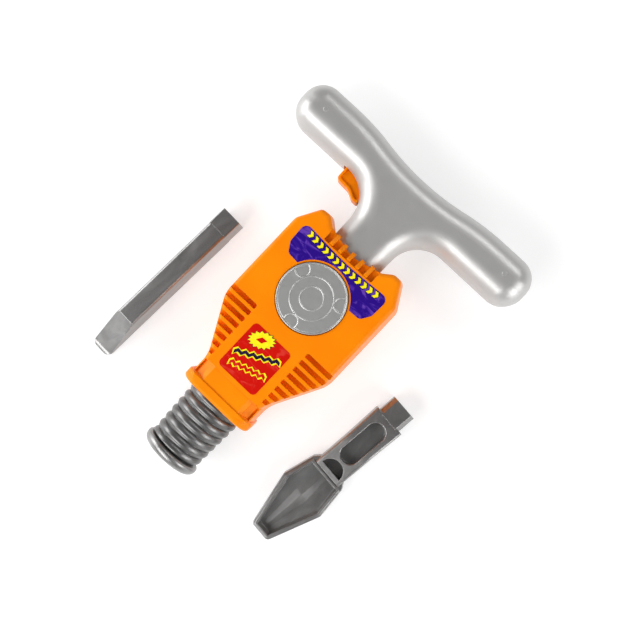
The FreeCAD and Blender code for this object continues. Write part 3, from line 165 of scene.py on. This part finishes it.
def ring_faces(first, second, count):
    """Quads between two rings of vertices that start at these numbers."""
    return [
        (first + i, first + (i + 1) % count, second + (i + 1) % count, second + i) for i in range(count)
    ]


def new_object(name, data):
    made = bpy.data.objects.new(name, data)
    bpy.context.scene.collection.objects.link(made)
    return made


def new_piece(name, vertices, faces, material, body, smooth=True):
    """A mesh object from points in millimetres, riding on a CAD body. Print has no slot in the record."""
    mesh = bpy.data.meshes.new(name)
    mesh.from_pydata([tuple(c * MM for c in v) for v in vertices], [], faces)
    mesh.polygons.foreach_set("use_smooth", [smooth] * len(mesh.polygons))
    mesh.validate()
    mesh.update()
    piece = new_object(name, mesh)
    piece.data.materials.append(material)
    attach(piece, body)
    return piece


# ---- small helpers for materials

def link_inputs(tree, node, inputs):
    for key, value in inputs.items():
        if isinstance(value, bpy.types.NodeSocket):
            tree.links.new(value, node.inputs[key])
        else:
            node.inputs[key].default_value = value


def add(tree, kind, inputs=None, **settings):
    """One new node. Inputs are numbers, colours or other nodes' outputs."""
    node = tree.nodes.new(kind)
    for key, value in settings.items():
        setattr(node, key, value)
    link_inputs(tree, node, inputs or {})
    return node


def noise(tree, scale, detail=2.0, rough=0.5, stretch=(1, 1, 1), distortion=0.0):
    """Noise over the object's own coordinates, with scale in cells per metre."""
    place = add(tree, "ShaderNodeTexCoord").outputs["Object"]
    spread = add(tree, "ShaderNodeMapping", {"Vector": place, "Scale": stretch}).outputs["Vector"]
    made = add(
        tree,
        "ShaderNodeTexNoise",
        {"Vector": spread, "Scale": scale, "Detail": detail, "Roughness": rough, "Distortion": distortion},
    )
    return made.outputs["Fac"]


def ramp(tree, factor, *stops):
    """A colour ramp: stops are (position, colour) with a colour of three linear numbers."""
    node = add(tree, "ShaderNodeValToRGB", {"Fac": factor})
    elements = node.color_ramp.elements
    while len(elements) < len(stops):
        elements.new(0.5)
    for element, (position, colour) in zip(elements, stops):
        element.position = position
        element.color = (*colour, 1.0)
    return node.outputs["Color"]


def grey(value):
    return (value, value, value)


def spread_of(tree, factor, low, high):
    """Maps a factor of 0..1 to low..high."""
    return add(tree, "ShaderNodeMapRange", {"Value": factor, "To Min": low, "To Max": high}).outputs["Result"]


def mixed(tree, factor, first, second):
    """A mix of two colours. Each is three linear numbers or another node's output."""
    node = add(tree, "ShaderNodeMix", data_type="RGBA")
    sockets = {socket.identifier: socket for socket in node.inputs}
    tree.links.new(factor, sockets["Factor_Float"])
    for key, colour in (("A_Color", first), ("B_Color", second)):
        if isinstance(colour, bpy.types.NodeSocket):
            tree.links.new(colour, sockets[key])
        else:
            sockets[key].default_value = (*colour, 1.0)
    return next(socket for socket in node.outputs if socket.identifier == "Result_Color")


def surface(name, colour, roughness, edge=0.0003, bumps=(), **values):
    """A Principled material. Colour is a function of the node tree, and roughness is one or a plain number.

    Edge is the radius in metres that sharp edges look rounded by. Bumps are (height, distance) pairs, with a
    height that is a function of the tree and a distance in metres. Values go to the sockets they name."""
    material = bpy.data.materials.new(name)
    material.use_nodes = True
    tree = material.node_tree
    normal = add(tree, "ShaderNodeBevel", {"Radius": edge}, samples=4).outputs["Normal"] if edge else None
    for height, distance in bumps:
        bump = add(tree, "ShaderNodeBump", {"Height": height(tree), "Distance": distance, "Strength": 1.0})
        if normal:
            tree.links.new(normal, bump.inputs["Normal"])
        normal = bump.outputs["Normal"]
    inputs = {"Base Color": colour(tree), "Roughness": roughness(tree) if callable(roughness) else roughness}
    if normal:
        inputs["Normal"] = normal
    for key, value in values.items():
        inputs[key.replace("_", " ")] = value
    link_inputs(tree, tree.nodes["Principled BSDF"], inputs)
    return material


# ---- materials, one for each slot of the record

def orange_plastic():
    """Glossy moulded plastic with faint flow shades and a fine skin."""
    return surface(
        "orange_plastic_look",
        lambda t: ramp(
            t,
            noise(t, 30.0, 3.0, 0.55),
            (0.30, (0.94, 0.225, 0.0015)),
            (0.70, (1.0, 0.27, 0.0025)),
        ),
        lambda t: spread_of(t, noise(t, 220.0, 4.0), 0.30, 0.42),
        edge=0.0006,
        bumps=[
            (lambda t: noise(t, 90.0, 2.0), 0.00008),
            (lambda t: noise(t, 2600.0, 2.0), 0.000008),
        ],
        IOR=1.5,
        Specular_IOR_Level=0.3,
        Specular_Tint=(1.0, 0.60, 0.22, 1.0),
        Subsurface_Weight=0.06,
        Subsurface_Radius=(0.004, 0.0015, 0.0003),
        Subsurface_Scale=0.6,
    )


def silver_paint():
    """Satin metallic paint: fine flakes in a clear binder."""
    return surface(
        "silver_paint_look",
        lambda t: mixed(t, noise(t, 5200.0, 1.0), (0.46, 0.455, 0.445), (0.62, 0.615, 0.605)),
        lambda t: spread_of(t, noise(t, 160.0, 4.0), 0.36, 0.46),
        edge=0.0003,
        bumps=[
            (lambda t: noise(t, 60.0, 3.0), 0.00010),
            (lambda t: noise(t, 4200.0, 2.0), 0.000005),
        ],
        Metallic=0.6,
        IOR=1.5,
    )


def dial_silver():
    """The same paint on the dial, a little darker and with more uneven gloss."""
    return surface(
        "dial_silver_look",
        lambda t: mixed(t, noise(t, 5200.0, 1.0), (0.43, 0.43, 0.42), (0.56, 0.56, 0.55)),
        lambda t: spread_of(t, noise(t, 400.0, 4.0), 0.30, 0.46),
        edge=0.0002,
        bumps=[
            (lambda t: noise(t, 160.0, 3.0), 0.00012),
            (lambda t: noise(t, 4200.0, 2.0), 0.000005),
        ],
        Metallic=0.6,
        IOR=1.5,
    )


def gunmetal_plastic(name="gunmetal_plastic_look", shades=(0.13, 0.22, 0.36), flake=0.38):
    """Dark plastic filled with metal flakes, which lie in long swirls where it flowed."""
    def flow(t):
        return noise(t, 55.0, 5.0, 0.6, (1.0, 0.35, 1.0), 1.6)

    return surface(
        name,
        lambda t: mixed(
            t,
            noise(t, 3800.0, 1.0),
            ramp(t, flow(t), *zip((0.30, 0.50, 0.68), map(grey, shades))),
            (flake, 0.98 * flake, 0.965 * flake),
        ),
        lambda t: spread_of(t, flow(t), 0.27, 0.43),
        edge=0.0007,
        bumps=[
            (lambda t: noise(t, 120.0, 3.0), 0.00010),
            (lambda t: noise(t, 3200.0, 2.0), 0.000012),
        ],
        Metallic=0.8,
        IOR=1.5,
    )


def film(name, base, between, streaks_and_sheen):
    """Printed glossy film with soft lighter blotches: a second ink on the blue label, a painted sheen on the
    red one.
    """
    return surface(
        name,
        lambda t: ramp(
            t,
            noise(t, 95.0, 3.0, 0.55, (1.0, 2.2, 1.0), 1.2),
            (0.50, base),
            (0.56, between),
            (0.66, streaks_and_sheen),
        ),
        lambda t: spread_of(t, noise(t, 300.0, 3.0), 0.18, 0.30),
        edge=0.0,
        bumps=[(lambda t: noise(t, 260.0, 2.0), 0.00003)],
        IOR=1.5,
        Specular_IOR_Level=0.3,
    )


def blue_label():
    return film("blue_label_look", (0.022, 0.003, 0.22), (0.035, 0.008, 0.26), (0.12, 0.045, 0.40))


# The lighter pinkish blotches of this film are a painted sheen.
def red_label():
    return film("red_label_look", (0.60, 0.005, 0.001), (0.62, 0.009, 0.004), (0.68, 0.035, 0.022))


def brushed(name, low, high, roughness=(0.24, 0.38), metallic=1.0):
    """Plated or turned metal with fine drawn lines."""
    return surface(
        name,
        lambda t: ramp(t, noise(t, 300.0, 4.0), (0.3, low), (0.7, high)),
        lambda t: spread_of(t, noise(t, 900.0, 3.0, 0.5, (1.0, 0.08, 1.0)), *roughness),
        edge=0.00015,
        bumps=[(lambda t: noise(t, 1600.0, 2.0, 0.5, (1.0, 0.06, 1.0)), 0.00001)],
        Metallic=metallic,
    )


def moulded(name, low, high, roughness=(0.4, 0.55)):
    """Plain moulded plastic with a spark-eroded skin."""
    return surface(
        name,
        lambda t: ramp(t, noise(t, 120.0, 3.0), (0.3, low), (0.7, high)),
        lambda t: spread_of(t, noise(t, 700.0, 3.0), *roughness),
        edge=0.0002,
        bumps=[(lambda t: noise(t, 2400.0, 3.0), 0.000015)],
        IOR=1.5,
    )


def ink(name, low, high):
    """Smooth ink, printed flat on the film."""
    return surface(
        name,
        lambda t: ramp(t, noise(t, 500.0, 2.0), (0.3, low), (0.7, high)),
        lambda t: spread_of(t, noise(t, 300.0, 3.0), 0.2, 0.3),
        edge=0.0,
    )


LOOKS = {
    "orange_plastic": orange_plastic(),
    "silver_paint": silver_paint(),
    "dial_silver": dial_silver(),
    "gunmetal_plastic": gunmetal_plastic(),
    "blue_label": blue_label(),
    "red_label": red_label(),
    "screw_steel": brushed("screw_steel_look", grey(0.45), grey(0.60)),
    "sheet_steel": brushed("sheet_steel_look", grey(0.52), grey(0.66)),
    "cell_wrap": brushed("cell_wrap_look", (0.06, 0.16, 0.08), (0.12, 0.25, 0.14), (0.25, 0.4), 0.3),
    "white_nylon": moulded("white_nylon_look", (0.70, 0.69, 0.64), (0.82, 0.81, 0.76)),
    "black_plastic": moulded("black_plastic_look", grey(0.018), grey(0.034)),
    "board_green": moulded("board_green_look", (0.010, 0.11, 0.04), (0.025, 0.18, 0.07), (0.25, 0.4)),
    "lead_red": moulded("lead_red_look", (0.48, 0.02, 0.012), (0.64, 0.035, 0.02)),
    "weight_iron": brushed("weight_iron_look", grey(0.18), grey(0.28), (0.45, 0.65)),
    "cone_paper": moulded("cone_paper_look", grey(0.035), grey(0.06), (0.6, 0.8)),
}
# The sleeve's copy of the gunmetal is darker: painted shade, standing in for the shade that falls between its
# coils.
SHADED_COIL_LOOK = gunmetal_plastic("gunmetal_coil_shaded_look", (0.075, 0.12, 0.19), 0.24)
PRINT_YELLOW = ink("print_yellow_look", (0.93, 0.80, 0.0), (1.0, 0.90, 0.02))
PRINT_BLACK = ink("print_black_look", (0.006, 0.004, 0.02), (0.02, 0.01, 0.05))

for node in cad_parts.values():
    for slot in node.material_slots:
        slot.material = LOOKS[slot.material.name]


# ---- the nose's helical sleeve

def smooth_profile(share):
    """The rise at a share of the pitch: a smooth curve through the profile's points, which repeats."""
    places, rises = (np.array(column) for column in zip(*COIL_PROFILE))
    count = len(places)
    left = np.searchsorted(places, share, side="right") - 1
    x = [places[(left + k) % count] + np.floor_divide(left + k, count) for k in (-1, 0, 1, 2)]
    y = [rises[(left + k) % count] for k in (-1, 0, 1, 2)]
    slope_in = (y[2] - y[0]) / (x[2] - x[0])
    slope_out = (y[3] - y[1]) / (x[3] - x[1])
    width = x[2] - x[1]
    t = (share - x[1]) / width
    return (
        (2 * t**3 - 3 * t**2 + 1) * y[1]
        + (t**3 - 2 * t**2 + t) * width * slope_in
        + (3 * t**2 - 2 * t**3) * y[2]
        + (t**3 - t**2) * width * slope_out
    )


def coil_radius(angle, y):
    """Radius of the sleeve at an angle that starts at -X and passes through +Z."""
    turns = (COIL_VALLEY_Y - y) / COIL_PITCH + angle / (2 * math.pi)
    rise = smooth_profile(turns - np.floor(turns))
    along = np.clip((COIL_TOP_Y - y) / (COIL_TOP_Y - COIL_END_Y), 0.0, 1.0)
    crest = COIL_CREST_R[0] + (COIL_CREST_R[1] - COIL_CREST_R[0]) * along
    valley = COIL_VALLEY_R[0] + (COIL_VALLEY_R[1] - COIL_VALLEY_R[0]) * along
    fade = smooth_step(COIL_END_Y, COIL_END_Y + COIL_FADE, y)
    return valley + (crest - valley) * rise * fade


def nose_coils():
    """The sleeve's outside from top to end, and its bore back again."""
    angles = circle_angles(COIL_AROUND)
    vertices, faces = [], []
    for y in np.linspace(COIL_TOP_Y, COIL_END_Y, COIL_ALONG):
        for angle, radius in zip(angles, coil_radius(angles, y)):
            vertices.append((-radius * math.cos(angle), y, NOSE_Z + radius * math.sin(angle)))
    for y in (COIL_END_Y, COIL_TOP_Y):
        for angle in angles:
            vertices.append((-COIL_BORE_R * math.cos(angle), y, NOSE_Z + COIL_BORE_R * math.sin(angle)))
    rings = COIL_ALONG + 2
    for i in range(rings):
        faces += ring_faces(((i + 1) % rings) * COIL_AROUND, i * COIL_AROUND, COIL_AROUND)
    return new_piece("nose_coils", vertices, faces, SHADED_COIL_LOOK, "nose")


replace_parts(nose_coils(), "nose_sleeve")


# ---- the dial's face

def notch_drop(x, y, degrees):
    """How far a notch lowers the dial's face at a point. The ridge around it counts as negative."""
    turn = math.radians(degrees)
    out = x * math.cos(turn) + y * math.sin(turn)
    side = -x * math.sin(turn) + y * math.cos(turn)
    centre = DIAL_NOTCH_IN + DIAL_NOTCH_HALF
    inside = np.where(out < centre, np.hypot(side, out - centre), np.abs(side)) - DIAL_NOTCH_HALF
    inside = np.maximum(inside, out - DIAL_NOTCH_OUT)
    hollow = DIAL_NOTCH_DEPTH * (1 - smooth_step(-DIAL_NOTCH_SLOPE, DIAL_NOTCH_SLOPE, inside))
    ridge = rounded_line(inside - DIAL_NOTCH_RIDGE_AT, DIAL_RIDGE, DIAL_RIDGE_WIDTH)
    return hollow - ridge * (out < DIAL_NOTCH_RIDGE_END)


def dial_drop(r, angle):
    """How far the dial's face lies below its top, at a radius and an angle in radians."""
    x, y = r * np.cos(angle), r * np.sin(angle)
    drop = DIAL_FACE_DROP * (1 - smooth_step(DIAL_FACE_END_R, DIAL_RIM_START_R, r))
    drop += rounded_line(r - DIAL_GROOVE_R, DIAL_GROOVE_DEPTH, DIAL_GROOVE_WIDTH)
    for ring in DIAL_RINGS:
        drop -= rounded_line(r - ring, DIAL_RIDGE, DIAL_RIDGE_WIDTH)
    for degrees in DIAL_NOTCH_ANGLES:
        drop += notch_drop(x, y, degrees)
    edge = np.clip((r - (DIAL_R - DIAL_EDGE_ROUND)) / DIAL_EDGE_ROUND, 0.0, 1.0)
    return drop + DIAL_EDGE_ROUND * (1 - np.sqrt(1 - DIAL_EDGE_STEEPNESS * edge**2))


def dial_face():
    """The face, ring by ring outwards, then the side and the flat back."""
    face_radii = np.linspace(*DIAL_FACE_SPAN, DIAL_FACE_STEPS)
    rim_radii = np.linspace(*DIAL_RIM_SPAN, DIAL_RIM_STEPS)
    radii = np.concatenate([face_radii, rim_radii])
    angles = circle_angles(DIAL_AROUND)
    vertices, faces = [], []
    for r in radii:
        drops = dial_drop(np.full(DIAL_AROUND, r), angles)
        vertices += [(r * math.cos(a), r * math.sin(a), DIAL_TOP_Z - d) for a, d in zip(angles, drops)]
    for r in (DIAL_R, DIAL_FACE_SPAN[0]):
        vertices += [(r * math.cos(a), r * math.sin(a), DIAL_BASE_Z) for a in angles]
    last = len(radii) + 1
    for i in range(last):
        faces += ring_faces(i * DIAL_AROUND, (i + 1) * DIAL_AROUND, DIAL_AROUND)
    faces.append(tuple(reversed(range(DIAL_AROUND))))
    faces.append(tuple(last * DIAL_AROUND + i for i in range(DIAL_AROUND)))
    return new_piece("dial_face", vertices, faces, LOOKS["dial_silver"], "dial")


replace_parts(dial_face(), "dial_disc")


# ---- the two compression springs inside

def spring_ring(start, rise, turn, radius, wire_r):
    """The ring of points around a spring's wire, at a rise along Y and a turn in radians."""
    points = []
    for k in range(SPRING_AROUND):
        tilt = 2 * math.pi * k / SPRING_AROUND
        out = radius + wire_r * math.cos(tilt)
        y = start[1] + rise + wire_r * math.sin(tilt)
        points.append((start[0] + out * math.cos(turn), y, start[2] + out * math.sin(turn)))
    return points


def compression_spring(name, node, joint, travel, start, length, radius, wire_r, pitch):
    """A coil along +Y from start, held at its far end. All in millimetres. Travel is not used."""
    steps = round(length / pitch * SPRING_PER_TURN)
    vertices, faces = [], []
    for i in range(steps + 1):
        turn = 2 * math.pi * i / SPRING_PER_TURN
        vertices += spring_ring(start, length * i / steps, turn, radius, wire_r)
        if i:
            faces += ring_faces((i - 1) * SPRING_AROUND, i * SPRING_AROUND, SPRING_AROUND)
    faces.append(tuple(range(SPRING_AROUND)))
    faces.append(tuple(reversed(range(steps * SPRING_AROUND, (steps + 1) * SPRING_AROUND))))
    piece = new_piece(name, vertices, faces, LOOKS["sheet_steel"], "housing")
    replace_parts(piece, node)
    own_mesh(piece)


compression_spring("nose_return_spring", "plunger_spring", "nose_slide", NOSE_TRAVEL, **NOSE_SPRING)
compression_spring(
    "trigger_return_spring", "trigger_spring", "trigger_pull", TRIGGER_TRAVEL, **TRIGGER_SPRING
)


# ---- what is printed on the labels, and the gate marks on the handle

def prism(outline, low, high):
    """Vertices and faces of an upright prism on an outline that runs counter-clockwise."""
    count = len(outline)
    vertices = [(x, y, z) for z in (low, high) for x, y in outline]
    faces = [tuple(range(count, 2 * count)), tuple(reversed(range(count)))]
    return vertices, faces + ring_faces(0, count, count)


def printed(name, outlines, lift, material):
    """One piece of print that holds every outline."""
    vertices, faces = [], []
    for outline in outlines:
        points, sides = prism(outline, FILM_Z - PRINT_SINK, FILM_Z + lift)
        faces += [tuple(i + len(vertices) for i in face) for face in sides]
        vertices += points
    new_piece(name, vertices, faces, material, "housing", smooth=False)


def turned(points, at, degrees):
    """The points turned about the origin and then moved to a place."""
    c, d = math.cos(math.radians(degrees)), math.sin(math.radians(degrees))
    return [(at[0] + c * x - d * y, at[1] + d * x + c * y) for x, y in points]


def chevron(index, grow):
    """One arrowhead of the upper label's row, which follows the label's bent top edge."""
    x = (index - (CHEVRON_COUNT - 1) / 2) * CHEVRON_PITCH
    half_x, half_y = CHEVRON_WIDTH / 2 + grow, CHEVRON_HALF_Y + grow
    points = [
        (-half_x, -half_y),
        (half_x, -half_y),
        (half_x + CHEVRON_POINT, 0.0),
        (half_x, half_y),
        (-half_x, half_y),
        (CHEVRON_POINT - half_x, 0.0),
    ]
    at = (x - CHEVRON_POINT / 2, CHEVRON_ROW_Y + CHEVRON_ROW_BEND * x * x)
    return turned(points, at, 0.0)


def burst(grow):
    """A flattened star with many points, at the lower label's top."""
    points = []
    for k in range(2 * BURST_POINTS):
        angle = math.pi * k / BURST_POINTS
        radius = BURST_R[k % 2] + grow
        points.append((radius * math.cos(angle), BURST_FLATNESS * radius * math.sin(angle)))
    return turned(points, BURST_AT, BURST_TURN)


def diamond():
    """A flat rhombus in the middle of the burst."""
    long, short = DIAMOND_HALF
    return turned([(long, 0), (0, short), (-long, 0), (0, -short)], BURST_AT, BURST_TURN)


def zigzag(band, grow):
    """A band of teeth across the lower label."""
    at, turn, half_length = band
    steps = 2 * BAND_TEETH
    xs = [(2 * k / steps - 1) * (half_length + grow) for k in range(steps + 1)]
    ys = [BAND_RISE * (k % 2 - 0.5) for k in range(steps + 1)]
    reach = BAND_THICK / 2 + grow
    lower = [(x, y - reach) for x, y in zip(xs, ys)]
    upper = [(x, y + reach) for x, y in zip(xs, ys)]
    return turned(lower + upper[::-1], at, turn)


def label_prints():
    """Each shape lies on a wider one in the ink of its outline."""
    row = range(CHEVRON_COUNT)
    bands = [zigzag(band, BAND_MARGIN) for band in (DARK_BAND, RED_BAND)]
    printed("upper_print_outline", [chevron(i, PRINT_MARGIN) for i in row], OUTLINE_LIFT, PRINT_BLACK)
    printed("upper_print", [chevron(i, 0.0) for i in row], PRINT_LIFT, PRINT_YELLOW)
    printed("burst_outline", [burst(PRINT_MARGIN)], OUTLINE_LIFT, PRINT_BLACK)
    printed("lower_print", [burst(0.0)] + bands, PRINT_LIFT, PRINT_YELLOW)
    printed("dark_band", [zigzag(DARK_BAND, 0.0)], TOP_LIFT, PRINT_BLACK)
    printed("red_band", [zigzag(RED_BAND, 0.0), diamond()], TOP_LIFT, LOOKS["red_label"])


def gate_marks():
    """Shallow round dishes with a raised rim, where the moulding's gates were."""
    vertices, faces = [], []
    for x, y in GATE_PLACES:
        first = len(vertices)
        for r, height in GATE_PROFILE:
            for a in circle_angles(GATE_AROUND):
                vertices.append((x + r * math.cos(a), y + r * math.sin(a), HANDLE_FACE_Z + height))
        last = first + (len(GATE_PROFILE) - 1) * GATE_AROUND
        for start in range(first, last, GATE_AROUND):
            faces += ring_faces(start, start + GATE_AROUND, GATE_AROUND)
        faces.append(tuple(last + k for k in range(GATE_AROUND)))
    new_piece("gate_marks", vertices, faces, LOOKS["silver_paint"], "housing")


label_prints()
gate_marks()


# ---- floor, light and camera

def floor():
    """A pale matt square that gives off a little light, so that it comes out white."""
    side, z = FLOOR_HALF_SIDE, cad_box[0].z - FLOOR_DROP
    corners = [(-side, -side, z), (side, -side, z), (side, side, z), (-side, side, z)]
    mesh = bpy.data.meshes.new("floor")
    mesh.from_pydata(corners, [], [(0, 1, 2, 3)])
    made = new_object("floor", mesh)
    look = surface(
        "floor_look",
        lambda t: ramp(t, noise(t, 3.0, 2.0), *zip((0.3, 0.7), map(grey, FLOOR_GREYS))),
        FLOOR_ROUGHNESS,
        edge=0.0,
        Emission_Color=(1.0, 1.0, 1.0, 1.0),
        Emission_Strength=FLOOR_GLOW,
    )
    made.data.materials.append(look)


def softbox(name, place, target, size, power):
    """A rectangular area light, with its place, target and size in metres and its power in watts."""
    light = bpy.data.lights.new(name, "AREA")
    light.shape = "RECTANGLE"
    light.size, light.size_y = size
    light.energy = power
    lamp = new_object(name, light)
    lamp.location = place
    lamp.rotation_euler = (Vector(target) - Vector(place)).to_track_quat("-Z", "Y").to_euler()


def studio_world():
    """Light from all around, by the height of the direction it comes from."""
    world = bpy.data.worlds.new("world")
    world.use_nodes = True
    tree = world.node_tree
    direction = add(tree, "ShaderNodeTexCoord").outputs["Generated"]
    height = add(tree, "ShaderNodeSeparateXYZ", {"Vector": direction}).outputs["Z"]
    shades = ramp(tree, height, *((place, grey(shade)) for place, shade in WORLD_SHADES))
    tree.links.new(shades, tree.nodes["Background"].inputs["Color"])
    bpy.context.scene.world = world


def camera():
    data = bpy.data.cameras.new("camera")
    data.sensor_width = SENSOR_MM
    data.lens = LENS_MM
    data.clip_start, data.clip_end = CLIP_START, CLIP_END
    made = new_object("camera", data)
    made.location = [c * MM for c in CAMERA_AT]
    made.rotation_euler = Euler([math.radians(a) for a in CAMERA_TURN])
    bpy.context.scene.camera = made


floor()
for box in SOFTBOXES:
    softbox(*box)
studio_world()
bpy.context.scene.view_settings.view_transform = "Standard"
camera()
